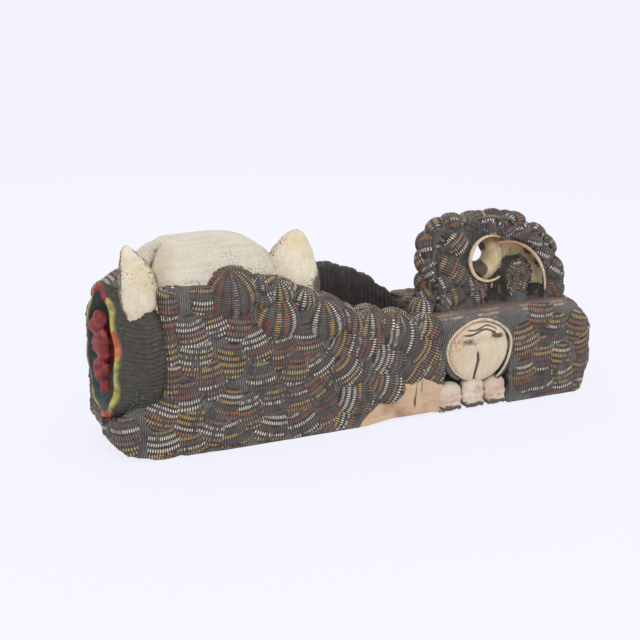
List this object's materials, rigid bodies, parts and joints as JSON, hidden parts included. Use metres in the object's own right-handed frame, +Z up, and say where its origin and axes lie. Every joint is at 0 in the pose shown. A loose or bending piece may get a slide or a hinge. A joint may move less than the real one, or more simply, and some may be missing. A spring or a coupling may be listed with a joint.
{
  "type": "carved dragon-lion sculpture",
  "caption": "Long crouching dragon-lion carved in wood and painted with scales, its head turned to one side, with horns, bowl-shaped ears, paws and a curled tail.",
  "frame": {"origin": "below the middle of the whole carving's box, on the surface it stands on", "axes": "+X from the turned head to the rump, +Y the way the face looks, +Z up"},
  "size_m": [0.77, 0.2, 0.283],
  "materials": {
    "scale_paint": "dark grey-brown aged paint with rows of cream, ochre and red dots",
    "bare_wood": "cream paint worn to dry wood grain",
    "horn_paint": "yellowed cream paint, worn",
    "ear_paint": "dark olive paint with carved rays, coloured rim",
    "red_paint": "dull red paint",
    "tail_paint": "dark grey-brown aged paint with short rows of dots",
    "limb_paint": "cream paint with pink stain and drying cracks",
    "face_paint": "dull teal and grey paint, worn",
    "tooth_paint": "ivory paint",
    "eye_paint": "cream paint with a dark painted pupil",
    "dowel_wood": "raw hardwood"
  },
  "bodies": {
    "root": {"carved_body": "scale_paint", "skull_cap": "bare_wood", "left_horn": "horn_paint", "right_horn": "horn_paint", "left_ear": "ear_paint", "left_ear_tuft": "red_paint", "right_ear": "ear_paint", "right_ear_tuft": "red_paint", "tail_coil": "tail_paint", "tail_tip": "tail_paint", "near_knee": "limb_paint", "far_knee": "limb_paint", "near_hind_paw": "limb_paint", "far_hind_paw": "limb_paint", "left_front_paw": "limb_paint", "right_front_paw": "limb_paint", "snout": "face_paint", "nose": "red_paint", "lower_jaw": "face_paint", "tongue": "red_paint", "upper_teeth": "tooth_paint", "lower_teeth": "tooth_paint", "fangs": "tooth_paint", "eyes": "eye_paint", "brows": "ear_paint", "horn_dowel": "dowel_wood", "ear_dowels": "dowel_wood", "skull_dowels": "dowel_wood", "tail_dowels": "dowel_wood", "leg_dowels": "dowel_wood", "face_dowels": "dowel_wood"}
  },
  "joints": []
}
